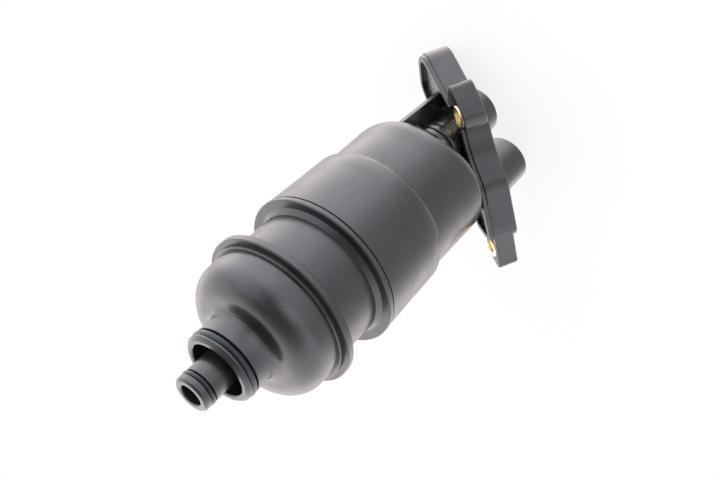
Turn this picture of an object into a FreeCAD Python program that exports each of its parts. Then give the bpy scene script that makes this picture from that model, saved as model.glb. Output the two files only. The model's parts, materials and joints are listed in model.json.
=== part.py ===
import FreeCAD, Part
import math
import os
from FreeCAD import Vector, Rotation, Placement

# In-line filter for an automatic transmission. Millimetres.
# The canister's axis is Z. The origin is on that axis, in the plane of the cover's front face,
# and +Z points out through the double nozzle. The mounting flange faces -Z and +X.

# Walls and clearances
WALL = 2.6                 # moulded wall of the three housing parts
FIT = 0.1                  # radial or axial gap between two parts that are pushed together
RUN = 0.06                 # radial gap of the valve plate on its tube
EDGE = 0.5                 # small breaks of moulded edges
ROUND_STEP = 3.2           # longest flat that a rounded corner is turned from
SEAL_SIDES = 8             # flats round the section of a seal ring
CUT_REACH = 160.0          # more than the flange's size, for slabs that trim other shapes

# Lengths along the canister, from the cover's front face to the mounting flange
COVER_H = 21.3
MIDDLE_H = 28.2            # from the cover's seam to the front of the second rim
RIM1_H = 3.6
RIM2_H = 2.8
WIDE_H = 40.7
NARROW_H = 38.5
FLANGE_DROP = 42.5         # from the closed end to where the axis meets the mounting face
COVER_BASE_Z = -COVER_H
RIM2_Z = COVER_BASE_Z - MIDDLE_H
OPEN_Z = RIM2_Z - RIM2_H
SHOULDER_Z = OPEN_Z - WIDE_H
END_Z = SHOULDER_Z - NARROW_H
FACE_Z = END_Z - FLANGE_DROP

# Radii of the canister, each a step from the flange housing's open end
CAN_R = 38.1
DRAFT = 1.1                # how much narrower the wide part is at the shoulder
SHOULDER_STEP = 2.2
WAIST_STEP = 5.8
RIM1_PROUD = 5.7
RIM2_PROUD = 0.3
COVER_STEP = 1.4
COVER_LIP_W = 1.5
WIDE_LOW_R = CAN_R - DRAFT
NARROW_R = WIDE_LOW_R - SHOULDER_STEP
BODY_R = CAN_R - WAIST_STEP
RIM1_R = BODY_R + RIM1_PROUD
RIM2_R = CAN_R + RIM2_PROUD
COVER_R = BODY_R + COVER_STEP
COVER_LIP_R = COVER_R + COVER_LIP_W

# Double nozzle
OUTER_TIP_Z = 16.3
OUTER_R = 17.0
OUTER_WALL = 3.6
OUTER_TIP_ROUND = 1.5
OUTER_ROOT_ROUND = 2.5
OUTER_BORE_R = OUTER_R - OUTER_WALL
INNER_REACH = 14.8         # how far the inner nozzle stands out of the outer one
INNER_R = 8.5
INNER_WALL = 3.35
INNER_TIP_ROUND = 0.9
TUBE_STEP = 0.3            # the tube is a little slimmer behind its nozzle end
INNER_TIP_Z = OUTER_TIP_Z + INNER_REACH
INNER_BORE_R = INNER_R - INNER_WALL
TUBE_R = INNER_R - TUBE_STEP

# Seal rings: thickness, groove width, and the collar left between the groove and the tip
OUTER_SEAL_D = 3.4
OUTER_GROOVE_W = 4.0
OUTER_TIP_COLLAR = 2.3
INNER_SEAL_D = 2.0
INNER_GROOVE_W = 2.8
INNER_TIP_COLLAR = 3.4
SEAL_SEAT = 0.02           # gap between a ring and its groove's floor or the bore around it
OUTER_GROOVE_Z = OUTER_TIP_Z - OUTER_TIP_COLLAR - OUTER_GROOVE_W
INNER_GROOVE_Z = INNER_TIP_Z - INNER_TIP_COLLAR - INNER_GROOVE_W

# Nozzle cover, a bowl welded to the middle body
COVER_FLAT = 5.0           # front face between the outer nozzle and the bowl's rounding
COVER_ROUND = COVER_R - OUTER_R - COVER_FLAT
COVER_LIP_H = 2.0
STANDPIPE_WALL = 2.0
STANDPIPE_RISE = 1.8       # the standpipe ends this far above the cover's seam
SPIDER_STEP = 1.0          # width of the step in the bore that the tube's fins rest against
SPIDER_STOP_Z = -6.0
STANDPIPE_BORE_R = OUTER_BORE_R + SPIDER_STEP
STANDPIPE_R = STANDPIPE_BORE_R + STANDPIPE_WALL
STANDPIPE_END_Z = COVER_BASE_Z + STANDPIPE_RISE

# Middle body
BODY_ROUND = 2.0
SKIRT_H = 5.0
SKIRT_W = 2.2
SKIRT_GAP = 0.3            # keeps the skirt clear of the housing's drafted wall

# Weld tongues that the cover and the flange housing push into the rims
TONGUE_W = 1.2
TONGUE_H = 1.2
COVER_TONGUE_R = COVER_R - FIT - TONGUE_W / 2
HOUSING_TONGUE_R = CAN_R - WALL / 2

# Flange housing, the closed half of the canister
SEAM_W = 0.5               # open line between the rim and the housing's edge
SEAM_DEPTH = 1.0
SHOULDER_H = 2.7
SHOULDER_ROUND = 3.0
END_ROUND = 14.0
END_REACH = 7.0            # how far a bore or a rib runs up into the rounded end

# Brass bushings in the ears
BUSHING_R = 6.2
BUSHING_WALL = 2.0
BUSHING_PROUD = 0.6
BUSHING_CHAMFER = 0.3
HEAD_ROOM = 0.7            # room for the screw head around a bushing, left by the raised rim
BUSHING_BORE_R = BUSHING_R - BUSHING_WALL

# Mounting flange, tilted about Y
TILT = 34.5
PLATE_T = 12.5
EAR_A_T = 11.6
EAR_B_STEP = 2.3           # the front of ear B is lower than the mounting face
RIM_H = 2.2
RIM_W = 3.0
RIM_INSET = 0.8
RIM_EDGE = 0.5
PLATE_EDGE = 0.6
POCKET_DEPTH = 9.0

# Flange outline, in the plane of the face: U runs up the tilt, Y as in the frame
LOBE_TOP = (-11.0, 32.0, 10.5)
LOBE_FAR = (-14.0, 22.5, 10.5)
LOBE_LOW = (31.5, -34.3, 5.2)
LOBE_CORNER = (41.0, -35.3, 5.2)
LOBE_NEAR = (31.0, -12.5, 13.0)
LOBE_SIDE = (20.0, 13.5, 11.2)
WAIST_R = 32.0
WAIST_CLEAR = 0.1          # keeps a short straight between the waist's hollow and its neighbours
HOLE_A = (23.2, 22.2)
EAR_A_WALL = 2.0
EAR_A_HORN = (17.6, 33.0, 3.6)
EAR_A_ROOT = (14.0, 20.0, 4.0)
HOLE_B = (38.2, -45.7)
EAR_B_WALL = 1.8
EAR_B_CORNER = (44.0, -54.0, 2.4)
EAR_B_ROOT = (40.0, -32.0, 6.0)
POCKETS = (((-12.5, 31.5, 6.0), (-16.0, 24.0, 5.0)),
           ((25.5, 9.5, 3.6), (25.5, 4.5, 3.2)),
           ((38.0, -6.5, 2.8), (38.0, -19.0, 2.8)))

# Ports on the mounting face, parallel to the canister
PORT_R = 13.0
PORT_WALL = 3.2
PORT_ROUND = 1.0
PORT_1 = (3.2, 10.5)
PORT_1_REACH = 3.0         # how far below the face's middle it ends
PORT_1_H = 22.0
PORT_2 = (14.8, -18.2)
PORT_2_REACH = 5.0
PORT_BORE_R = PORT_R - PORT_WALL
PORT_1_LOW_Z = FACE_Z - PORT_1_REACH
PORT_1_TOP_Z = PORT_1_LOW_Z + PORT_1_H
PORT_2_LOW_Z = FACE_Z - PORT_2_REACH

# Ducts between the plate and the canister's end
DUCT_1_R = 9.8
DUCT_2_R = 8.5
DUCT_WALL = 2.8
COLLAR_1_H = 15.0
COLLAR_1_STEP = 1.0
COLLAR_1_FLARE = 0.7
NECK_WALL = 4.35
PASSAGE_STEP = 0.35        # the passage below the tube is a little narrower than the tube's bore
CROSS_W = 8.0              # channel between the tube's passage and port 1
CROSS_DEPTH = 18.5
GUSSET_X = -5.0
GUSSET_T = 2.2
GUSSET_TOP_Y = 31.0
GUSSET_LOW_Y = 28.5
PASSAGE_R = INNER_BORE_R - PASSAGE_STEP
NECK_R = INNER_BORE_R + NECK_WALL
COLLAR_1_R = DUCT_1_R + COLLAR_1_STEP
CROSS_LOW_Z = END_Z - CROSS_DEPTH

# Socket for the tube's far end, inside the flange housing
SOCKET_WALL = 3.3
SOCKET_H = 17.5
TUBE_FOOT = 5.5            # height of the tube's end above the canister's end
TUBE_SEAL_D = 1.9
TUBE_SEAL_RISE = 5.5
TUBE_GROOVE_W = 2.4
SOCKET_R = TUBE_R + SOCKET_WALL
SOCKET_TOP_Z = END_Z + SOCKET_H
TUBE_END_Z = END_Z + TUBE_FOOT
TUBE_SEAL_Z = TUBE_END_Z + TUBE_SEAL_RISE

# Bypass valve around the tube, under the flange end cap
VALVE_T = 2.0
VALVE_GAP = 0.1
VALVE_SEAT_W = 1.7         # how much wider the plate is than the hole it closes
VALVE_HOLE_GAP = 4.3       # open ring between the tube and the hole's edge
VALVE_HUB_W = 1.2
VALVE_HUB_H = 1.2
SPRING_GAP = 2.4           # from the tube to the middle of the spring's wire
SPRING_WIRE_R = 0.6
SPRING_TURNS = 4
SPRING_STEPS = 20
SPRING_SIDES = 6
SPRING_LEN = 14.0
CLIP_W = 4.2
CLIP_T = 1.6
CLIP_GROOVE = 0.7
SPIDER_FINS = 3
SPIDER_T = 1.8
SPIDER_LEN = 9.0
SPIDER_TURN = 30.0
VALVE_HOLE_R = TUBE_R + VALVE_HOLE_GAP
PLATE_R = VALVE_HOLE_R + VALVE_SEAT_W
VALVE_HUB_R = TUBE_R + VALVE_HUB_W
SPRING_R = TUBE_R + SPRING_GAP
CLIP_R = TUBE_R + CLIP_W

# Filter element
ELEMENT_RISE = 0.3         # its top stands this far above the cover's seam
ELEMENT_FOOT = 22.0        # its underside stands this far above the canister's end
ELEMENT_GAP = 4.0          # between the end caps and the narrow part's wall
CAP_T = 2.5
CAP_LIP_H = 1.5
CAP_LIP_W = 1.0
GROMMET_T = 2.6
GROMMET_H = 6.0
COLLAR_WALL = 2.0
COLLAR_H = 9.0
CORE_GAP = 2.0             # between the valve plate's edge and the cage's outside
CORE_T = 1.2
CORE_COLUMNS = 5
CORE_ROWS = 4
CORE_WINDOW_W = 12.0
CORE_WINDOW_H = 15.0
PLEATS = 36
PLEAT_GAP = 0.3            # between the folds and the cage or the cap's lip
PLEAT_FOLD = 2.0           # thickness of the paper, measured radially at a fold
LOCATING_RIBS = 4
LOCATING_RIB_T = 2.0
LOCATING_RIB_GAP = 4.5     # between a rib and the tube's socket
ELEMENT_TOP_Z = COVER_BASE_Z + ELEMENT_RISE
ELEMENT_LOW_Z = END_Z + ELEMENT_FOOT
CAP_R = NARROW_R - WALL - ELEMENT_GAP
GROMMET_R = STANDPIPE_R + GROMMET_T
COLLAR_R = GROMMET_R + COLLAR_WALL
CORE_R = PLATE_R + CORE_GAP

os.makedirs("parts", exist_ok=True)


def save(name, shape):
    shape.exportStep("parts/" + name + ".step")


def rounded_corner(before, corner, after, radius):
    """Points along the arc that rounds one corner of an outline."""
    here = Vector(*corner)
    back = (Vector(*before) - here).normalize()
    ahead = (Vector(*after) - here).normalize()
    half = back.getAngle(ahead) / 2
    centre = here + (back + ahead).normalize() * (radius / math.sin(half))
    start = here + back * (radius / math.tan(half)) - centre
    end = here + ahead * (radius / math.tan(half)) - centre
    turn = math.pi - 2 * half
    steps = math.ceil(radius * turn / ROUND_STEP)
    points = []
    for i in range(steps + 1):
        share = i / steps
        ends = start * math.sin((1 - share) * turn) + end * math.sin(share * turn)
        points.append(centre + ends * (1 / math.sin(turn)))
    return points


def lathe(outline):
    """Turns a closed outline about Z. Its corners are (radius, height) or (radius, height, rounding)."""
    corners = []
    count = len(outline)
    for i, (r, z, *rounding) in enumerate(outline):
        if rounding:
            before = outline[i - 1]
            after = outline[(i + 1) % count]
            near = (before[0], 0, before[1])
            far = (after[0], 0, after[1])
            corners += rounded_corner(near, (r, 0, z), far, rounding[0])
        else:
            corners.append(Vector(r, 0, z))
    face = Part.Face(Part.makePolygon(corners + [corners[0]]))
    return face.revolve(Vector(0, 0, 0), Vector(0, 0, 1), 360)


def disc(r, low, high, x=0.0, y=0.0):
    """A cylinder along Z between two heights."""
    return Part.makeCylinder(r, high - low, Vector(x, y, low))


def ring(r_in, r_out, low, high):
    """A plain ring about Z."""
    return disc(r_out, low, high).cut(disc(r_in, low, high))


def seal_ring(mid_r, wire_d, z):
    """A round-section seal ring about Z."""
    section = []
    for i in range(SEAL_SIDES):
        angle = 2 * math.pi * i / SEAL_SIDES
        section.append((mid_r + wire_d / 2 * math.cos(angle), z + wire_d / 2 * math.sin(angle)))
    return lathe(section)


def spread(shape, count, first=0.0):
    """Copies of a shape, evenly spaced about Z."""
    copies = []
    for i in range(count):
        turned = shape.copy()
        turned.rotate(Vector(0, 0, 0), Vector(0, 0, 1), first + 360.0 * i / count)
        copies.append(turned)
    return copies


# Flange outline from round lobes joined by tangent lines

def tangent_normal(a, b):
    """Outward normal of the line that touches lobes a and b, going anticlockwise."""
    dx = b[0] - a[0]
    dy = b[1] - a[1]
    return math.atan2(dy, dx) - math.acos((a[2] - b[2]) / math.hypot(dx, dy))


def lobe_point(lobe, angle):
    """Point of a lobe's circle in this direction from its centre."""
    u, y, r = lobe
    return Vector(u + r * math.cos(angle), y + r * math.sin(angle), 0)


def outline(lobes, grow=0.0):
    """Closed face around lobes (u, y, radius), anticlockwise. A negative radius is a hollow."""
    sized = [(u, y, r + grow) for u, y, r in lobes]
    following = sized[1:] + sized[:1]
    leave = [tangent_normal(lobe, after) for lobe, after in zip(sized, following)]
    arrive = leave[-1:] + leave[:-1]
    edges = []
    for lobe, after, start, end in zip(sized, following, arrive, leave):
        turn = (end - start) % (2 * math.pi)
        if lobe[2] < 0:
            turn -= 2 * math.pi
        points = [lobe_point(lobe, start + turn * share) for share in (0, 0.5, 1)]
        edges.append(Part.Arc(*points).toShape())
        edges.append(Part.makeLine(points[2], lobe_point(after, end)))
    return Part.Face(Part.Wire(edges))


def hollow(a, b, radius):
    """A hollow lobe of this radius between lobes a and b, on the right of the way from a to b."""
    reach_a = a[2] + radius + WAIST_CLEAR
    reach_b = b[2] + radius + WAIST_CLEAR
    dx = b[0] - a[0]
    dy = b[1] - a[1]
    span = math.hypot(dx, dy)
    along = (reach_a ** 2 - reach_b ** 2 + span ** 2) / (2 * span)
    aside = math.sqrt(reach_a ** 2 - along ** 2)
    return a[0] + (dx * along + dy * aside) / span, a[1] + (dy * along - dx * aside) / span, -radius


FLANGE = Placement(Vector(0, 0, FACE_Z), Rotation(Vector(0, 1, 0), -TILT))


def on_flange(shape):
    """Moves a shape from the flange's own plane, front face at height 0, to its place."""
    placed = shape.copy()
    placed.Placement = FLANGE.multiply(placed.Placement)
    return placed


def slab(face, low, high):
    """A plate of this outline between two heights above the mounting face."""
    lifted = face.copy()
    lifted.translate(Vector(0, 0, low))
    return lifted.extrude(Vector(0, 0, high - low))


def column(u, y, r, low, high):
    """A round boss or hole, square to the mounting face."""
    return Part.makeCylinder(r, high - low, Vector(u, y, low))


def half_space(low, high):
    """All that lies between two heights above the mounting face, to trim other shapes with."""
    corner = Vector(-CUT_REACH / 2, -CUT_REACH / 2, low)
    return on_flange(Part.makeBox(CUT_REACH, CUT_REACH, high - low, corner))


def chamfered_slab(face, low, high, low_edge, high_edge):
    """A plate with its lower and upper edges broken by these widths. Zero leaves an edge sharp."""
    plate = slab(face, low, high)
    for z, width in ((low, low_edge), (high, high_edge)):
        if width:
            edges = [e for e in plate.Edges
                     if abs(e.BoundBox.ZMin - z) < width / 4 and abs(e.BoundBox.ZMax - z) < width / 4]
            plate = plate.makeChamfer(width, edges)
    return plate


def bushing_seats():
    """The round seats of the two bushings, open to the front."""
    high = PLATE_T + BUSHING_PROUD
    return [on_flange(column(*hole, BUSHING_R, -PLATE_T, high)) for hole in (HOLE_A, HOLE_B)]


def pockets():
    """Hollows moulded into the plate's front, clear of the ports and bushings."""
    return [slab(outline(lobes), -PLATE_EDGE, POCKET_DEPTH) for lobes in POCKETS]


def flange_plate():
    """The inclined plate with its ears and the raised rim on its back."""
    waist = hollow(LOBE_NEAR, LOBE_SIDE, WAIST_R)
    body = [LOBE_TOP, LOBE_FAR, LOBE_LOW, LOBE_CORNER, LOBE_NEAR, waist, LOBE_SIDE]
    ear_a = [(*HOLE_A, BUSHING_R + EAR_A_WALL), EAR_A_HORN, EAR_A_ROOT]
    ear_b = [(*HOLE_B, BUSHING_R + EAR_B_WALL), EAR_B_CORNER, EAR_B_ROOT]
    plate = chamfered_slab(outline(body), 0, PLATE_T, PLATE_EDGE, PLATE_EDGE / 2)
    ears = [chamfered_slab(outline(ear_a), PLATE_T - EAR_A_T, PLATE_T, PLATE_EDGE, PLATE_EDGE / 2),
            chamfered_slab(outline(ear_b), EAR_B_STEP, PLATE_T, PLATE_EDGE, PLATE_EDGE / 2)]
    rim_top = PLATE_T + RIM_H
    outer = chamfered_slab(outline(body, -RIM_INSET), PLATE_T, rim_top, 0, RIM_EDGE)
    inner = slab(outline(body, -RIM_INSET - RIM_W), PLATE_T, rim_top)
    head_room = column(*HOLE_A, BUSHING_R + HEAD_ROOM, PLATE_T, rim_top)
    head_wall = column(*HOLE_A, BUSHING_R + HEAD_ROOM + RIM_W, PLATE_T, rim_top)
    rim = outer.cut(head_room).cut(inner.cut(head_wall))
    return on_flange(plate.fuse(ears + [rim]).cut(pockets()))


def can_profile(inset, open_z):
    """The canister's closed half as a solid of revolution, offset inwards by a wall."""
    end = END_Z + inset
    return lathe([(0, open_z), (CAN_R - inset, open_z),
                  (WIDE_LOW_R - inset, SHOULDER_Z + SHOULDER_H + inset, SHOULDER_ROUND),
                  (NARROW_R - inset, SHOULDER_Z + inset),
                  (NARROW_R - inset, end, END_ROUND - inset), (0, end)])


def ports():
    """The two round ports, from their free ends to the plate's back or just behind it."""
    port_1 = lathe([(0, PORT_1_LOW_Z), (PORT_R, PORT_1_LOW_Z, PORT_ROUND),
                    (PORT_R, PORT_1_TOP_Z, PORT_ROUND), (0, PORT_1_TOP_Z)])
    port_2 = lathe([(0, PORT_2_LOW_Z), (PORT_R, PORT_2_LOW_Z, PORT_ROUND), (PORT_R, END_Z), (0, END_Z)])
    port_1.translate(Vector(*PORT_1, 0))
    port_2.translate(Vector(*PORT_2, 0))
    return port_1, port_2.cut(half_space(PLATE_T, CUT_REACH))


def ducts():
    """Tubes that join the plate to the canister's end, trimmed at the middle of the plate."""
    deep = END_Z + END_ROUND
    x, y = PORT_1
    foot = Vector(x, y, END_Z - COLLAR_1_H)
    collar = Part.makeCone(COLLAR_1_R, COLLAR_1_R + COLLAR_1_FLARE, COLLAR_1_H, foot)
    tubes = [disc(DUCT_1_R, FACE_Z, deep, x, y),
             disc(DUCT_2_R, FACE_Z, deep, *PORT_2),
             disc(NECK_R, FACE_Z, deep)]
    behind = half_space(PLATE_T / 2, CUT_REACH)
    return [tube.common(behind) for tube in tubes + [gusset()]] + [collar]


def passages():
    """The bores of the ports, ducts and tube socket. Each port's bore is open to the front."""
    back_z = FACE_Z + PLATE_T
    front_z = FACE_Z - PORT_R
    x, y = PORT_1
    cross_h = END_Z - WALL - CROSS_LOW_Z
    cross = Part.makeBox(math.hypot(x, y), CROSS_W, cross_h, Vector(0, -CROSS_W / 2, CROSS_LOW_Z))
    cross.rotate(Vector(0, 0, 0), Vector(0, 0, 1), math.degrees(math.atan2(y, x)))
    return [disc(PASSAGE_R, CROSS_LOW_Z, SOCKET_TOP_Z),
            disc(TUBE_R + FIT, TUBE_END_Z - FIT, SOCKET_TOP_Z),
            disc(PORT_BORE_R, front_z, PORT_1_TOP_Z - WALL, x, y),
            disc(DUCT_1_R - DUCT_WALL, PORT_1_TOP_Z - 2 * WALL, END_Z - WALL, x, y),
            cross,
            disc(PORT_BORE_R, front_z, back_z, *PORT_2),
            disc(DUCT_2_R - DUCT_WALL, FACE_Z, END_Z + END_REACH, *PORT_2)]


def gusset():
    """The thin rib between the canister's end and the plate."""
    high = END_Z + END_ROUND
    root = PORT_1[1]
    corners = [(root, high), (GUSSET_TOP_Y, high), (GUSSET_TOP_Y, END_Z + END_REACH),
               (GUSSET_LOW_Y, FACE_Z), (root, FACE_Z), (root, high)]
    side = Part.Face(Part.makePolygon([Vector(GUSSET_X, y, z) for y, z in corners]))
    return side.extrude(Vector(GUSSET_T, 0, 0))


def locating_ribs():
    """Ribs inside the closed end that the element stands on."""
    low = END_Z + WALL / 2
    inner = SOCKET_R + LOCATING_RIB_GAP
    rib = Part.makeBox(NARROW_R - inner, LOCATING_RIB_T, ELEMENT_LOW_Z - FIT - low,
                       Vector(inner, -LOCATING_RIB_T / 2, low))
    room = can_profile(WALL / 2, ELEMENT_LOW_Z)
    return [copy.common(room) for copy in spread(rib, LOCATING_RIBS)]


def flange_housing():
    """The closed half of the canister, its ducts, gusset and mounting flange, moulded as one."""
    solid = can_profile(0, OPEN_Z).fuse([flange_plate()] + list(ports()) + ducts())
    seam = ring(CAN_R - SEAM_DEPTH, RIM2_R, OPEN_Z - SEAM_W, OPEN_Z)
    solid = solid.cut([can_profile(WALL, OPEN_Z), seam])
    socket = disc(SOCKET_R, END_Z + WALL / 2, SOCKET_TOP_Z)
    tongue = ring(HOUSING_TONGUE_R - TONGUE_W / 2, HOUSING_TONGUE_R + TONGUE_W / 2,
                  OPEN_Z - SEAM_W - FIT, OPEN_Z + TONGUE_H)
    solid = solid.fuse([socket, tongue] + locating_ribs())
    return solid.cut(passages() + bushing_seats()).removeSplitter()


def tongue_walls(mid_r, base_z, tip_z, gap=0.0):
    """Corners of a weld tongue or, with a gap, of its groove, from the inside outwards."""
    half = TONGUE_W / 2 + gap
    return [(mid_r - half, base_z), (mid_r - half, tip_z), (mid_r + half, tip_z), (mid_r + half, base_z)]


def groove_walls(outer_r, floor_r, low, high):
    """Corners of a groove in an outside wall, from its upper edge down."""
    return [(outer_r, high), (floor_r, high), (floor_r, low), (outer_r, low)]


def middle_body():
    """The short cylinder between the cover and the flange housing, with a rim at each end."""
    top = COVER_BASE_Z
    rim1_low = top - RIM1_H
    skirt_r = CAN_R - WALL - SKIRT_GAP
    skirt_low = OPEN_Z - SKIRT_H
    inner = BODY_R - WALL
    groove = TONGUE_H + FIT
    lower_groove = tongue_walls(HOUSING_TONGUE_R, OPEN_Z, OPEN_Z + groove, FIT)
    return lathe([(inner, top)] + tongue_walls(COVER_TONGUE_R, top, top - groove, FIT)
                 + [(RIM1_R, top, EDGE), (RIM1_R, rim1_low, EDGE), (BODY_R, rim1_low, BODY_ROUND),
                    (BODY_R, RIM2_Z, BODY_ROUND), (RIM2_R, RIM2_Z, EDGE), (RIM2_R, OPEN_Z, EDGE)]
                 + lower_groove[::-1]
                 + [(skirt_r, OPEN_Z), (skirt_r, skirt_low), (skirt_r - SKIRT_W, skirt_low),
                    (skirt_r - SKIRT_W, OPEN_Z), (inner, OPEN_Z)])


def nozzle_cover():
    """The bowl with the outer nozzle and the standpipe that the element hangs on."""
    lip_top = COVER_BASE_Z + COVER_LIP_H
    floor_r = OUTER_R - OUTER_SEAL_D - SEAL_SEAT
    inner = COVER_R - WALL
    tongue = tongue_walls(COVER_TONGUE_R, COVER_BASE_Z, COVER_BASE_Z - TONGUE_H)
    return lathe([(OUTER_BORE_R, OUTER_TIP_Z, EDGE), (OUTER_R, OUTER_TIP_Z, OUTER_TIP_ROUND)]
                 + groove_walls(OUTER_R, floor_r, OUTER_GROOVE_Z, OUTER_GROOVE_Z + OUTER_GROOVE_W)
                 + [(OUTER_R, 0, OUTER_ROOT_ROUND), (COVER_R, 0, COVER_ROUND), (COVER_R, lip_top),
                    (COVER_LIP_R, lip_top, EDGE), (COVER_LIP_R, COVER_BASE_Z)]
                 + tongue[::-1]
                 + [(inner, COVER_BASE_Z), (inner, -WALL, COVER_ROUND - WALL), (STANDPIPE_R, -WALL),
                    (STANDPIPE_R, STANDPIPE_END_Z), (STANDPIPE_BORE_R, STANDPIPE_END_Z),
                    (STANDPIPE_BORE_R, SPIDER_STOP_Z), (OUTER_BORE_R, SPIDER_STOP_Z)])


def transfer_tube():
    """The long tube: inner nozzle at one end, plugged into the flange housing at the other."""
    nozzle_floor = INNER_R - INNER_SEAL_D - SEAL_SEAT
    end_floor = TUBE_R + FIT - 2 * SEAL_SEAT - TUBE_SEAL_D
    half = TUBE_GROOVE_W / 2
    tube = lathe([(INNER_BORE_R, INNER_TIP_Z, EDGE), (INNER_R, INNER_TIP_Z, INNER_TIP_ROUND)]
                 + groove_walls(INNER_R, nozzle_floor, INNER_GROOVE_Z, INNER_GROOVE_Z + INNER_GROOVE_W)
                 + [(INNER_R, 0), (TUBE_R, 0)]
                 + groove_walls(TUBE_R, TUBE_R - CLIP_GROOVE, clip_z() - FIT, clip_z() + CLIP_T + FIT)
                 + groove_walls(TUBE_R, end_floor, TUBE_SEAL_Z - half, TUBE_SEAL_Z + half)
                 + [(TUBE_R, TUBE_END_Z, EDGE), (INNER_BORE_R, TUBE_END_Z)])
    root_r = (INNER_BORE_R + TUBE_R) / 2
    fin = Part.makeBox(STANDPIPE_BORE_R - FIT - root_r, SPIDER_T, SPIDER_LEN,
                       Vector(root_r, -SPIDER_T / 2, SPIDER_STOP_Z - FIT - SPIDER_LEN))
    return tube.fuse(spread(fin, SPIDER_FINS, SPIDER_TURN)).removeSplitter()


def clip_z():
    """Underside of the clip that the valve spring pushes against."""
    return ELEMENT_LOW_Z + CAP_T + VALVE_GAP + VALVE_T + SPRING_LEN


def seals():
    """The two nozzle seal rings and the one in the socket, as a bore around them squeezes them."""
    socket_mid = TUBE_R + FIT - SEAL_SEAT - TUBE_SEAL_D / 2
    outer_z = OUTER_GROOVE_Z + OUTER_GROOVE_W / 2
    inner_z = INNER_GROOVE_Z + INNER_GROOVE_W / 2
    save("outer_nozzle_seal", seal_ring(OUTER_R - OUTER_SEAL_D / 2, OUTER_SEAL_D, outer_z))
    save("inner_nozzle_seal", seal_ring(INNER_R - INNER_SEAL_D / 2, INNER_SEAL_D, inner_z))
    save("tube_end_seal", seal_ring(socket_mid, TUBE_SEAL_D, TUBE_SEAL_Z))


def bushing(hole, low):
    """A brass sleeve that carries the screw's clamp load through an ear."""
    high = PLATE_T + BUSHING_PROUD
    sleeve = column(*hole, BUSHING_R, low, high).cut(column(*hole, BUSHING_BORE_R, low, high))
    circles = [edge for edge in sleeve.Edges if isinstance(edge.Curve, Part.Circle)]
    return on_flange(sleeve.makeChamfer(BUSHING_CHAMFER, circles))


def zigzag(crest_r, valley_r, low, high):
    """A solid star with one point per pleat."""
    corners = []
    for i in range(2 * PLEATS):
        r = valley_r if i % 2 else crest_r
        angle = math.pi * i / PLEATS
        corners.append(Vector(r * math.cos(angle), r * math.sin(angle), low))
    return Part.Face(Part.makePolygon(corners + [corners[0]])).extrude(Vector(0, 0, high - low))


def filter_paper():
    """The pleated paper between the two end caps."""
    low = ELEMENT_LOW_Z + CAP_T
    high = ELEMENT_TOP_Z - CAP_T
    crest = CAP_R - CAP_LIP_W - PLEAT_GAP
    valley = CORE_R + PLEAT_GAP
    outside = zigzag(crest, valley + PLEAT_FOLD, low, high)
    return outside.cut(zigzag(crest - PLEAT_FOLD, valley, low, high))


def end_cap_nozzle():
    """Cap at the nozzle end, with a collar around the standpipe's grommet."""
    top = ELEMENT_TOP_Z
    low = top - CAP_T
    hole_r = CORE_R - CORE_T
    lip_r = CAP_R - CAP_LIP_W
    return lathe([(hole_r, top), (GROMMET_R, top), (GROMMET_R, top + COLLAR_H), (COLLAR_R, top + COLLAR_H),
                  (COLLAR_R, top), (CAP_R, top), (CAP_R, low - CAP_LIP_H), (lip_r, low - CAP_LIP_H),
                  (lip_r, low), (hole_r, low)])


def end_cap_flange():
    """Cap at the flange end. The edge of its hole is the bypass valve's seat."""
    high = ELEMENT_LOW_Z + CAP_T
    lip_r = CAP_R - CAP_LIP_W
    return lathe([(VALVE_HOLE_R, ELEMENT_LOW_Z), (CAP_R, ELEMENT_LOW_Z), (CAP_R, high + CAP_LIP_H),
                  (lip_r, high + CAP_LIP_H), (lip_r, high), (VALVE_HOLE_R, high)])


def cap_grommet():
    """Rubber sleeve between the nozzle end cap's collar and the standpipe."""
    return ring(STANDPIPE_R + SEAL_SEAT, GROMMET_R - SEAL_SEAT, ELEMENT_TOP_Z, ELEMENT_TOP_Z + GROMMET_H)


def core_cage():
    """Moulded cage that holds the paper from inside."""
    low = ELEMENT_LOW_Z + CAP_T
    high = ELEMENT_TOP_Z - CAP_T
    cage = ring(CORE_R - CORE_T, CORE_R, low, high)
    pitch = (high - low) / CORE_ROWS
    windows = []
    for row in range(CORE_ROWS):
        z = low + pitch * (row + 0.5) - CORE_WINDOW_H / 2
        window = Part.makeBox(CORE_R, CORE_WINDOW_W, CORE_WINDOW_H, Vector(CORE_R / 2, -CORE_WINDOW_W / 2, z))
        windows += spread(window, CORE_COLUMNS)
    return cage.cut(windows)


def valve_plate():
    """The ring that closes the bypass hole and slides along the tube."""
    low = ELEMENT_LOW_Z + CAP_T + VALVE_GAP
    hub = VALVE_HUB_H
    return lathe([(TUBE_R + RUN, low), (PLATE_R, low), (PLATE_R, low + VALVE_T), (VALVE_HUB_R, low + VALVE_T),
                  (VALVE_HUB_R, low + VALVE_T + hub), (TUBE_R + RUN, low + VALVE_T + hub)])


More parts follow.
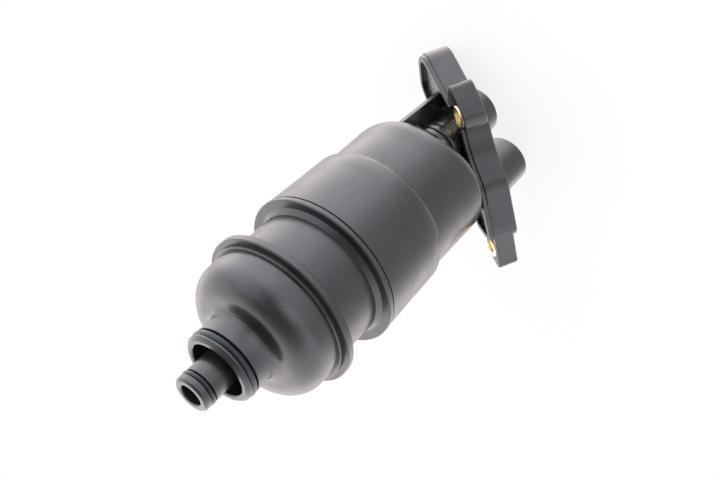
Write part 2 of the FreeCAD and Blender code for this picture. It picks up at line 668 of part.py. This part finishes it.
def valve_spring():
    """Compression spring between the valve plate and the clip, as a chain of short straight lengths."""
    low = ELEMENT_LOW_Z + CAP_T + VALVE_GAP + VALVE_T + SPRING_WIRE_R
    rise = SPRING_LEN - 2 * SPRING_WIRE_R
    steps = SPRING_TURNS * SPRING_STEPS
    rings = []
    for i in range(steps + 1):
        angle = 2 * math.pi * i / SPRING_STEPS
        ring_points = []
        for k in range(SPRING_SIDES):
            around = 2 * math.pi * k / SPRING_SIDES
            r = SPRING_R + SPRING_WIRE_R * math.cos(around)
            z = low + rise * i / steps + SPRING_WIRE_R * math.sin(around)
            ring_points.append(Vector(r * math.cos(angle), r * math.sin(angle), z))
        rings.append(ring_points)
    faces = [Part.Face(Part.makePolygon(end + [end[0]])) for end in (rings[0], rings[-1])]
    for near, far in zip(rings, rings[1:]):
        for k in range(SPRING_SIDES):
            after = (k + 1) % SPRING_SIDES
            for corners in ((near[k], near[after], far[k]), (near[after], far[after], far[k])):
                faces.append(Part.Face(Part.makePolygon([*corners, corners[0]])))
    solid = Part.Solid(Part.Shell(faces))
    return solid if solid.Volume > 0 else solid.reversed()


def spring_clip():
    """Open clip in the tube's groove."""
    clip = ring(TUBE_R - CLIP_GROOVE + FIT, CLIP_R, clip_z(), clip_z() + CLIP_T)
    mouth = Part.makeBox(CLIP_R, TUBE_R, CLIP_T, Vector(0, -TUBE_R / 2, clip_z()))
    return clip.cut(mouth)


save("nozzle_cover", nozzle_cover())
save("middle_body", middle_body())
save("flange_housing", flange_housing())
save("transfer_tube", transfer_tube())
seals()
save("bushing_a", bushing(HOLE_A, PLATE_T - EAR_A_T))
save("bushing_b", bushing(HOLE_B, EAR_B_STEP))
save("filter_paper", filter_paper())
save("core_cage", core_cage())
save("end_cap_nozzle", end_cap_nozzle())
save("end_cap_flange", end_cap_flange())
save("cap_grommet", cap_grommet())
save("valve_plate", valve_plate())
save("valve_spring", valve_spring())
save("spring_clip", spring_clip())
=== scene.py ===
import json
import math

import bmesh
import bpy
from mathutils import Matrix, Vector


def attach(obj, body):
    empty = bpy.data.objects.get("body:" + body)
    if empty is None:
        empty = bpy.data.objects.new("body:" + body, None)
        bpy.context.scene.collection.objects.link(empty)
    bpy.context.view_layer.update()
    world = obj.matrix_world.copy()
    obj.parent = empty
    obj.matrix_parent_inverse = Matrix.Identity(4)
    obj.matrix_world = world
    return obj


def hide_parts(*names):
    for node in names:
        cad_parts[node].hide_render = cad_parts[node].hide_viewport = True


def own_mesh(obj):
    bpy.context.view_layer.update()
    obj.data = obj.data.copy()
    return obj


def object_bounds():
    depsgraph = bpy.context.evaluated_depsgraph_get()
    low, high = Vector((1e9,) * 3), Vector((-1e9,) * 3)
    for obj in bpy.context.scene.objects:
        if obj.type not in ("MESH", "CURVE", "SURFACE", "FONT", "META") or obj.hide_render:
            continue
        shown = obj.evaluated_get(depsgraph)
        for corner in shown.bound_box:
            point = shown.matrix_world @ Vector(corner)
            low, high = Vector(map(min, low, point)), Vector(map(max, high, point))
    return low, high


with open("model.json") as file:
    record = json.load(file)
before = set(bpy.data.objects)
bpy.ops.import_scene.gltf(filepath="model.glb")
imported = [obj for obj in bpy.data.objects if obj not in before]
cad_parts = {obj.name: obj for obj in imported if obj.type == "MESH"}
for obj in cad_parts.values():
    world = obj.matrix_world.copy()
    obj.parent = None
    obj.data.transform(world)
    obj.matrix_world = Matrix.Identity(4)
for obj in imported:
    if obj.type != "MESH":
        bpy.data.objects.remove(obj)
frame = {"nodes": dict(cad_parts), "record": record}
cad_low, cad_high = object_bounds()
NODES = frame["nodes"]
SLOT = {row["node"]: row["material_slot"] for row in frame["record"]["subparts"]}
HOUSING = "housing"
VALVE = "bypass_valve"
MM = 0.001

# Camera: place, axes and lens that match the photograph
CAMERA_AT = (0.2500, 0.2388, 0.1529)
CAMERA_RIGHT = (0.7685, -0.2204, -0.6008)
CAMERA_UP = (-0.2255, 0.7854, -0.5765)
CAMERA_NEAR = 0.01
CAMERA_FAR = 100.0
LENS_MM = 45.5
SENSOR_MM = 36.0

# Surroundings as glossy faces mirror them: a bright room, dimmest just above the camera. More
# light comes from the side that the canister's upper left flank mirrors, less from the side that
# its right flank mirrors and from behind the object. Directions lead away from the object. A span
# holds the cosines to a direction between which its effect grows from nothing to all of it.
TO_DIM_PATCH = (0.45, 0.43, 0.78)
DIM_LEVEL = 0.5
BRIGHT_LEVEL = 3.1
BRIGHT_SPAN = (0.98, 0.35)
TO_LEFT = (-0.433, 0.750, -0.500)
LEFT_SPAN = (0.55, 0.98)
LEFT_LEVEL = 1.8           # comes on top of the bright level
TO_RIGHT = (0.565, -0.100, -0.819)
RIGHT_SPAN = (0.60, 0.95)
RIGHT_DROP = 0.58          # share of the brightness that is missing there
TO_BEHIND = (-0.599, -0.579, -0.554)
BEHIND_SPAN = (0.65, 0.95)
BEHIND_DROP = 0.55
MIRRORED_WARM = (1.0, 0.92, 0.905)

# Even light of the room on matt faces, and what the camera sees of the room
WORLD_WARM = (1.0, 0.98, 0.965)
DIFFUSE_LEVEL = 0.9
WHITE = (1.0, 1.0, 1.0)

# Lamps: place, target, side of the square, watts and colour
LAMPS = {
    "key": ((-0.15, 0.9, 0.6), (0.0, 0.0, -0.07), 0.8, 2.5, (0.93, 0.96, 1.0)),
    "side": ((0.474, 0.336, 0.072), (0.03, 0.0, -0.15), 0.34, 0.5, (1.0, 0.95, 0.93)),
}

# Floor
FLOOR_SIZE = 24.0
FLOOR_GAP = 0.002
FLOOR_SHADOW = 0.25        # share of the floor's brightness that shadows can take away
FLOOR_WHITE = 1.06         # makes up for what the floor's own grey takes from that share
FLOOR_GREYS = ((0.86, 0.86, 0.86), (0.88, 0.88, 0.88))
FLOOR_CLOUDS = (3.0, 3.0, 0.5)
FLOOR_SPAN = (0.3, 0.7)
FLOOR_ROUGH = 0.9

# Materials. A noise is its scale per metre, detail and roughness. A span is the part of the
# noise's values over which a colour or a roughness changes from the first to the second of a
# pair. A bump is its strength and its depth in metres. A stretch draws a pattern along the axes.
PLAIN = (1.0, 1.0, 1.0)

OUTER_BLACKS = ((0.011, 0.0105, 0.011), (0.018, 0.0175, 0.018))
OUTER_ROUGH = (0.22, 0.33)
INNER_BLACKS = ((0.035, 0.035, 0.037), (0.055, 0.055, 0.058))
INNER_ROUGH = (0.45, 0.6)
NYLON_SHEEN = (0.81, 0.885, 1.0)   # cool where a face looks at the viewer, while edges stay neutral
NYLON_IOR = 1.53
NYLON_FLOW = (1.0, 1.0, 0.25)
NYLON_CLOUDS = (55.0, 4.0, 0.6)
NYLON_CLOUD_SPAN = (0.35, 0.7)
NYLON_PATCHES = (140.0, 3.0, 0.55)
NYLON_PATCH_SPAN = (0.3, 0.7)
NYLON_WAVES = (45.0, 1.0, 0.5)
NYLON_WAVE_BUMP = (0.24, 0.0012)
NYLON_FIBRES = (1400.0, 2.0, 0.5)
NYLON_FIBRE_BUMP = (0.07, 0.0001)
NYLON_SPARKS = (4200.0, 2.0, 0.7)
NYLON_SPARK_BUMP = (0.14, 0.00005)
EDGE_ROUND = 0.0003
EDGE_SAMPLES = 4

RUBBER_BLACKS = ((0.008, 0.009, 0.012), (0.016, 0.018, 0.024))
RUBBER_ROUGH = (0.22, 0.38)
RUBBER_SHEEN = (0.47, 0.58, 0.65)
RUBBER_IOR = 1.5
RUBBER_CLOUDS = (260.0, 3.0, 0.5)
RUBBER_CLOUD_SPAN = (0.3, 0.75)
RUBBER_SMEARS = (700.0, 3.0, 0.5)
RUBBER_SMEAR_SPAN = (0.3, 0.7)
RUBBER_GRAIN = (3000.0, 2.0, 0.5)
RUBBER_BUMP = (0.12, 0.00004)

BRASS_TONES = ((0.85, 0.74, 0.51), (0.94, 0.87, 0.68))
BRASS_ROUGH = (0.20, 0.36)
BRASS_LINES = (1.0, 1.0, 6.0)
STEEL_TONES = ((0.42, 0.43, 0.45), (0.60, 0.61, 0.63))
STEEL_ROUGH = (0.22, 0.4)
STEEL_LINES = (1.0, 1.0, 8.0)
METAL_CLOUDS = (420.0, 4.0, 0.6)
METAL_CLOUD_SPAN = (0.3, 0.72)
METAL_PATCHES = (1300.0, 3.0, 0.5)
METAL_PATCH_SPAN = (0.3, 0.7)
METAL_TOOL = (2200.0, 3.0, 0.5)
METAL_BUMP = (0.12, 0.00003)

PAPER_CREAMS = ((0.62, 0.53, 0.36), (0.80, 0.73, 0.56))
PAPER_ROUGH = (0.82, 0.95)
PAPER_LINES = (1.0, 1.0, 0.3)
PAPER_FIBRES = (2600.0, 4.0, 0.7)
PAPER_FIBRE_SPAN = (0.3, 0.75)
PAPER_PATCHES = (500.0, 3.0, 0.5)
PAPER_PATCH_SPAN = (0.3, 0.7)
PAPER_BUMP = (0.5, 0.0001)

# Skins over the CAD pieces. The paper keeps its CAD mesh, and three seals have rings of their own.
SKINNED = ("nozzle_cover", "middle_body", "flange_housing", "transfer_tube", "bushing_a", "bushing_b",
           "core_cage", "end_cap_nozzle", "end_cap_flange", "cap_grommet", "valve_plate", "valve_spring",
           "spring_clip")
INNER_PLASTIC = ("core_cage", "end_cap_nozzle", "end_cap_flange", "valve_plate")
JOIN_DISTANCE = 2e-6
SMOOTH_ANGLE = 32.0

# Turned forms, in millimetres
TURN_STEPS = 160
RING_STEPS = 20
ARC_STEPS = 10

# Seal rings, not squeezed: radius of the ring's middle line, radius of its cord, height
SEALS = {
    "outer_nozzle_seal": (15.5, 1.9, 12.0),
    "inner_nozzle_seal": (7.65, 1.15, 26.3),
    "tube_end_seal": (7.33, 0.95, -120.5),
}

# The canister's closed end, whose corner is tighter on the side of the flange's low ear
END_Z = -131.5
NARROW_R = 34.8
CAD_END_ROUND = 14.0
TIGHT_ROUND = 4.0          # the corner's radius where it is tightest, at TIGHT_SIDE
TIGHT_SIDE = -45.0         # degrees from +X
TIGHT_START = -0.5         # cosine from that side at which the corner starts to tighten
END_WALL = 1.0             # how far the corner's inner face lies inside the CAD wall
END_RISE = 9.0             # height over which the corner grows out of the CAD wall
PROUD = 0.03               # how far a laid-on face stands off the CAD wall

# Rings round the root of the first duct: outlines as radius and height, closed at DUCT_R
DUCT_MIDDLE = (3.2, 10.5)
DUCT_R = 10.7
DUCT_RINGS = {
    "duct_boss": ((13.0, -131.0), (12.5, -137.1), (12.2, -137.5)),
    "duct_ring": ((11.9, -138.6), (12.3, -139.0), (12.3, -141.0), (11.0, -144.0)),
}


# Shader nodes

def feed(tree, target, inputs):
    """Fills a node's inputs: a socket is linked, a number, direction or colour is set."""
    for name, value in inputs.items():
        socket = target.inputs[name]
        if isinstance(value, bpy.types.NodeSocket):
            tree.links.new(value, socket)
        elif socket.type == "RGBA":
            socket.default_value = (*value, 1.0)
        else:
            socket.default_value = value


def node(tree, kind, inputs, **attributes):
    """Adds a shader node, sets its attributes and fills its inputs."""
    made = tree.nodes.new(kind)
    for name, value in attributes.items():
        setattr(made, name, value)
    feed(tree, made, inputs)
    return made


def new_material(name):
    """A material that has only its shader and output so far."""
    material = bpy.data.materials.new(name)
    material.use_nodes = True
    tree = material.node_tree
    tree.nodes.clear()
    shader = node(tree, "ShaderNodeBsdfPrincipled", {})
    node(tree, "ShaderNodeOutputMaterial", {"Surface": shader.outputs["BSDF"]})
    return material, tree, shader


def place(tree, stretch):
    """The object's own coordinates, in metres, stretched along its axes."""
    here = node(tree, "ShaderNodeTexCoord", {}).outputs["Object"]
    return node(tree, "ShaderNodeMapping", {"Vector": here, "Scale": stretch}).outputs["Vector"]


def noise(tree, where, look):
    """A cloudy pattern of values from 0 to 1."""
    scale, detail, rough = look
    inputs = {"Vector": where, "Scale": scale, "Detail": detail, "Roughness": rough}
    return node(tree, "ShaderNodeTexNoise", inputs).outputs["Fac"]


def ramp(tree, source, span, colours):
    """A colour that runs from the first to the second as the source runs through the span."""
    made = node(tree, "ShaderNodeValToRGB", {"Fac": source})
    for element, position, colour in zip(made.color_ramp.elements, span, colours):
        element.position = position
        element.color = (*colour, 1.0)
    return made.outputs["Color"]


def spread_value(tree, source, span, values):
    """A number that runs from the first to the second as the source runs through the span."""
    inputs = {"Value": source, "From Min": span[0], "From Max": span[1], "To Min": values[0],
              "To Max": values[1]}
    return node(tree, "ShaderNodeMapRange", inputs).outputs["Result"]


def bump(tree, source, look, before=None):
    """Relief from a noise, on top of the relief before it."""
    strength, depth = look
    made = node(tree, "ShaderNodeBump", {"Height": source, "Strength": strength, "Distance": depth})
    if before:
        feed(tree, made, {"Normal": before})
    return made.outputs["Normal"]


def mix(tree, choice, first, second):
    """The first shader where the choice is 0, the second where it is 1."""
    return node(tree, "ShaderNodeMixShader", {0: choice, 1: first, 2: second}).outputs["Shader"]


def ray(tree, kind):
    """1 for rays of this kind and 0 for the others."""
    return node(tree, "ShaderNodeLightPath", {}).outputs[kind]


def arithmetic(tree, operation, a, b):
    return node(tree, "ShaderNodeMath", {0: a, 1: b}, operation=operation).outputs["Value"]


def towards(tree, direction, span):
    """How far the surroundings lie towards this direction, from 0 to 1 through the span."""
    where = node(tree, "ShaderNodeTexCoord", {}).outputs["Generated"]
    dot = node(tree, "ShaderNodeVectorMath", {0: where, 1: direction}, operation="DOT_PRODUCT")
    inputs = {"Value": dot.outputs["Value"], "From Min": span[0], "From Max": span[1]}
    return node(tree, "ShaderNodeMapRange", inputs, interpolation_type="SMOOTHSTEP").outputs["Result"]


# Materials

def plastic(name, blacks, rough):
    """Glass-filled nylon: fine spark grain, faint flow clouds, duller and glossier patches."""
    material, tree, shader = new_material(name)
    plain = place(tree, PLAIN)
    flow = place(tree, NYLON_FLOW)
    edges = node(tree, "ShaderNodeBevel", {"Radius": EDGE_ROUND}, samples=EDGE_SAMPLES).outputs["Normal"]
    waves = bump(tree, noise(tree, plain, NYLON_WAVES), NYLON_WAVE_BUMP, edges)
    fibres = bump(tree, noise(tree, flow, NYLON_FIBRES), NYLON_FIBRE_BUMP, waves)
    feed(tree, shader, {
        "Base Color": ramp(tree, noise(tree, flow, NYLON_CLOUDS), NYLON_CLOUD_SPAN, blacks),
        "Roughness": spread_value(tree, noise(tree, plain, NYLON_PATCHES), NYLON_PATCH_SPAN, rough),
        "Normal": bump(tree, noise(tree, plain, NYLON_SPARKS), NYLON_SPARK_BUMP, fibres),
        "IOR": NYLON_IOR,
        "Specular Tint": NYLON_SHEEN,
    })
    return material


def rubber(name):
    """Moulded nitrile: almost black, with clouds, smears and a fine grain."""
    material, tree, shader = new_material(name)
    plain = place(tree, PLAIN)
    smears = noise(tree, plain, RUBBER_SMEARS)
    feed(tree, shader, {
        "Base Color": ramp(tree, noise(tree, plain, RUBBER_CLOUDS), RUBBER_CLOUD_SPAN, RUBBER_BLACKS),
        "Roughness": spread_value(tree, smears, RUBBER_SMEAR_SPAN, RUBBER_ROUGH),
        "Normal": bump(tree, noise(tree, plain, RUBBER_GRAIN), RUBBER_BUMP),
        "IOR": RUBBER_IOR,
        "Specular Tint": RUBBER_SHEEN,
    })
    return material


def metal(name, tones, rough, lines):
    """Turned or drawn metal: fine tool lines, tarnish clouds."""
    material, tree, shader = new_material(name)
    plain = place(tree, PLAIN)
    tool = noise(tree, place(tree, lines), METAL_TOOL)
    feed(tree, shader, {
        "Base Color": ramp(tree, noise(tree, plain, METAL_CLOUDS), METAL_CLOUD_SPAN, tones),
        "Metallic": 1.0,
        "Roughness": spread_value(tree, noise(tree, plain, METAL_PATCHES), METAL_PATCH_SPAN, rough),
        "Normal": bump(tree, tool, METAL_BUMP),
    })
    return material


def paper(name):
    """Resin-treated filter paper: cream, fibrous."""
    material, tree, shader = new_material(name)
    patches = noise(tree, place(tree, PLAIN), PAPER_PATCHES)
    fibres = noise(tree, place(tree, PAPER_LINES), PAPER_FIBRES)
    feed(tree, shader, {
        "Base Color": ramp(tree, fibres, PAPER_FIBRE_SPAN, PAPER_CREAMS),
        "Roughness": spread_value(tree, patches, PAPER_PATCH_SPAN, PAPER_ROUGH),
        "Normal": bump(tree, fibres, PAPER_BUMP),
    })
    return material


BLACK = plastic("black_plastic", OUTER_BLACKS, OUTER_ROUGH)
INNER_BLACK = plastic("inner_plastic", INNER_BLACKS, INNER_ROUGH)
SLOT_FINISH = {
    "black_plastic": BLACK,
    "rubber": rubber("seal_rubber"),
    "brass": metal("bushing_brass", BRASS_TONES, BRASS_ROUGH, BRASS_LINES),
    "steel": metal("spring_steel", STEEL_TONES, STEEL_ROUGH, STEEL_LINES),
    "paper": paper("filter_paper_cream"),
}
FINISH = {name: SLOT_FINISH[slot] for name, slot in SLOT.items()}
for name in INNER_PLASTIC:
    FINISH[name] = INNER_BLACK
for name, cad_object in NODES.items():
    for slot in cad_object.material_slots:
        slot.material = FINISH[name]


# Pieces

def add_piece(name, mesh, material, body):
    """A piece that moves with a body, smooth except at its sharper edges."""
    mesh.shade_smooth()
    mesh.set_sharp_from_angle(angle=math.radians(SMOOTH_ANGLE))
    mesh.materials.append(material)
    piece = bpy.data.objects.new(name, mesh)
    bpy.context.scene.collection.objects.link(piece)
    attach(piece, body)
    return piece


def skin(name):
    """Stands for a CAD piece: the same surface with shared corners, smooth across small angles."""
    work = bmesh.new()
    work.from_mesh(NODES[name].data)
    bmesh.ops.remove_doubles(work, verts=work.verts, dist=JOIN_DISTANCE)
    mesh = bpy.data.meshes.new(name + "_skin")
    work.to_mesh(mesh)
    work.free()
    custom = mesh.attributes.get("custom_normal")
    if custom:
        mesh.attributes.remove(custom)
    piece = add_piece(name + "_skin", mesh, FINISH[name], VALVE if name == "valve_plate" else HOUSING)
    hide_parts(name)
    return piece


def compress_spring(piece):
    """Gives the spring's skin a mesh of its own; the spring is not shortened."""
    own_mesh(piece)


def arc(middle_r, middle_z, radius, start, end, steps):
    """Points of an arc, as radius and height, from one angle to another in degrees from outwards."""
    points = []
    for i in range(steps + 1):
        angle = math.radians(start + (end - start) * i / steps)
        points.append((middle_r + radius * math.cos(angle), middle_z + radius * math.sin(angle)))
    return points


def turned(name, profile_at, material, middle=(0.0, 0.0)):
    """A closed profile turned about an upright axis. The profile may change with the angle."""
    corners = []
    faces = []
    for i in range(TURN_STEPS):
        angle = 2 * math.pi * i / TURN_STEPS
        profile = profile_at(angle)
        count = len(profile)
        here = i * count
        after = (i + 1) % TURN_STEPS * count
        for j, (radius, height) in enumerate(profile):
            x = middle[0] + radius * math.cos(angle)
            y = middle[1] + radius * math.sin(angle)
            corners.append((x * MM, y * MM, height * MM))
            k = (j + 1) % count
            faces.append((here + j, after + j, after + k, here + k))
    mesh = bpy.data.meshes.new(name)
    mesh.from_pydata(corners, [], faces)
    work = bmesh.new()
    work.from_mesh(mesh)
    bmesh.ops.recalc_face_normals(work, faces=work.faces)
    work.to_mesh(mesh)
    work.free()
    return add_piece(name, mesh, material, HOUSING)


def seal(name):
    """A round rubber ring in place of the CAD ring, which is drawn as squeezed as it is in use."""
    middle_r, cord_r, height = SEALS[name]
    outline = arc(middle_r, height, cord_r, 0, 360, RING_STEPS)[:-1]
    piece = turned(name + "_ring", lambda angle: outline, FINISH[name])
    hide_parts(name)


def end_corner():
    """The tighter corner of the canister's closed end next to the flange, laid over the CAD's."""
    wall_r = NARROW_R + PROUD
    low_z = END_Z - PROUD
    inner_r = NARROW_R - CAD_END_ROUND
    start_z = END_Z + CAD_END_ROUND

    def profile_at(angle):
        lean = (math.cos(angle - math.radians(TIGHT_SIDE)) - TIGHT_START) / (1 - TIGHT_START)
        lean = max(0.0, lean)
        share = lean * lean * (3 - 2 * lean)
        radius = CAD_END_ROUND + (TIGHT_ROUND - CAD_END_ROUND) * share
        profile = [(NARROW_R - END_WALL, start_z + END_RISE), (NARROW_R - PROUD, start_z + END_RISE)]
        profile += [(wall_r, start_z + PROUD)]
        profile += arc(wall_r - radius, low_z + radius, radius, 0, -90, ARC_STEPS)
        profile += [(inner_r - PROUD, low_z)]
        profile += arc(inner_r, start_z, CAD_END_ROUND - END_WALL, -90, 0, ARC_STEPS)
        return profile

    piece = turned("end_corner", profile_at, BLACK)


def duct_rings():
    """A boss and a ring round the root of the first duct, with a narrow groove between them."""
    for name, outline in DUCT_RINGS.items():
        profile = ((DUCT_R, outline[0][1]), *outline, (DUCT_R, outline[-1][1]))
        piece = turned(name, lambda angle: profile, BLACK, DUCT_MIDDLE)


# Camera

def set_camera():
    data = bpy.data.cameras.new("camera")
    data.lens = LENS_MM
    data.sensor_width = SENSOR_MM
    data.clip_start = CAMERA_NEAR
    data.clip_end = CAMERA_FAR
    camera = bpy.data.objects.new("camera", data)
    bpy.context.scene.collection.objects.link(camera)
    right = Vector(CAMERA_RIGHT).normalized()
    back = right.cross(Vector(CAMERA_UP)).normalized()
    up = back.cross(right)
    turn = Matrix((right, up, back)).transposed().to_4x4()
    camera.matrix_world = Matrix.Translation(Vector(CAMERA_AT)) @ turn
    bpy.context.scene.camera = camera


# Floor and surroundings

def floor_material():
    """White to the camera, with shadows. Glossy rays and a camera below it see through it."""
    material, tree, shader = new_material("floor_white")
    clouds = noise(tree, place(tree, PLAIN), FLOOR_CLOUDS)
    greys = ramp(tree, clouds, FLOOR_SPAN, FLOOR_GREYS)
    feed(tree, shader, {"Base Color": greys, "Roughness": FLOOR_ROUGH})
    matt = shader.outputs["BSDF"]
    white = node(tree, "ShaderNodeEmission", {"Strength": FLOOR_WHITE}).outputs["Emission"]
    clear = node(tree, "ShaderNodeBsdfTransparent", {}).outputs["BSDF"]
    underneath = node(tree, "ShaderNodeNewGeometry", {}).outputs["Backfacing"]
    seen = mix(tree, underneath, mix(tree, FLOOR_SHADOW, white, matt), clear)
    unseen = mix(tree, ray(tree, "Is Glossy Ray"), matt, clear)
    final = mix(tree, ray(tree, "Is Camera Ray"), unseen, seen)
    feed(tree, tree.get_output_node("ALL"), {"Surface": final})
    return material


def set_floor():
    mesh = bpy.data.meshes.new("floor")
    half = FLOOR_SIZE / 2
    z = cad_low.z - FLOOR_GAP
    corners = [(-half, -half, z), (half, -half, z), (half, half, z), (-half, half, z)]
    mesh.from_pydata(corners, [], [(0, 1, 2, 3)])
    mesh.materials.append(floor_material())
    floor = bpy.data.objects.new("floor", mesh)
    bpy.context.scene.collection.objects.link(floor)


def mirrored_level(tree):
    """The brightness of the surroundings in each direction, as glossy faces mirror it."""
    away = towards(tree, TO_DIM_PATCH, BRIGHT_SPAN)
    level = arithmetic(tree, "MULTIPLY", away, BRIGHT_LEVEL - DIM_LEVEL)
    level = arithmetic(tree, "ADD", level, DIM_LEVEL)
    left = arithmetic(tree, "MULTIPLY", towards(tree, TO_LEFT, LEFT_SPAN), LEFT_LEVEL)
    level = arithmetic(tree, "ADD", level, left)
    drops = ((TO_RIGHT, RIGHT_SPAN, RIGHT_DROP), (TO_BEHIND, BEHIND_SPAN, BEHIND_DROP))
    for direction, span, drop in drops:
        missing = arithmetic(tree, "MULTIPLY", towards(tree, direction, span), -drop)
        level = arithmetic(tree, "MULTIPLY", level, arithmetic(tree, "ADD", missing, 1.0))
    return level


def background(tree, colour, strength):
    made = node(tree, "ShaderNodeBackground", {"Color": colour, "Strength": strength})
    return made.outputs["Background"]


def set_world():
    world = bpy.data.worlds.new("studio")
    bpy.context.scene.world = world
    world.use_nodes = True
    tree = world.node_tree
    tree.nodes.clear()
    light = background(tree, WORLD_WARM, DIFFUSE_LEVEL)
    mirrored = background(tree, MIRRORED_WARM, mirrored_level(tree))
    rays = mix(tree, ray(tree, "Is Glossy Ray"), light, mirrored)
    final = mix(tree, ray(tree, "Is Camera Ray"), rays, background(tree, WHITE, 1.0))
    node(tree, "ShaderNodeOutputWorld", {"Surface": final})


def lamp(name, at, target, side, power, colour):
    data = bpy.data.lights.new(name, "AREA")
    data.size = side
    data.energy = power
    data.color = colour
    made = bpy.data.objects.new(name, data)
    bpy.context.scene.collection.objects.link(made)
    made.location = at
    made.rotation_mode = "QUATERNION"
    made.rotation_quaternion = (Vector(target) - Vector(at)).to_track_quat("-Z", "Y")


for name in SKINNED:
    piece = skin(name)
    if name == "valve_spring":
        compress_spring(piece)
for name in SEALS:
    seal(name)
end_corner()
duct_rings()
set_camera()
set_floor()
set_world()
for name, values in LAMPS.items():
    lamp(name, *values)

bpy.context.scene.view_settings.view_transform = "Standard"
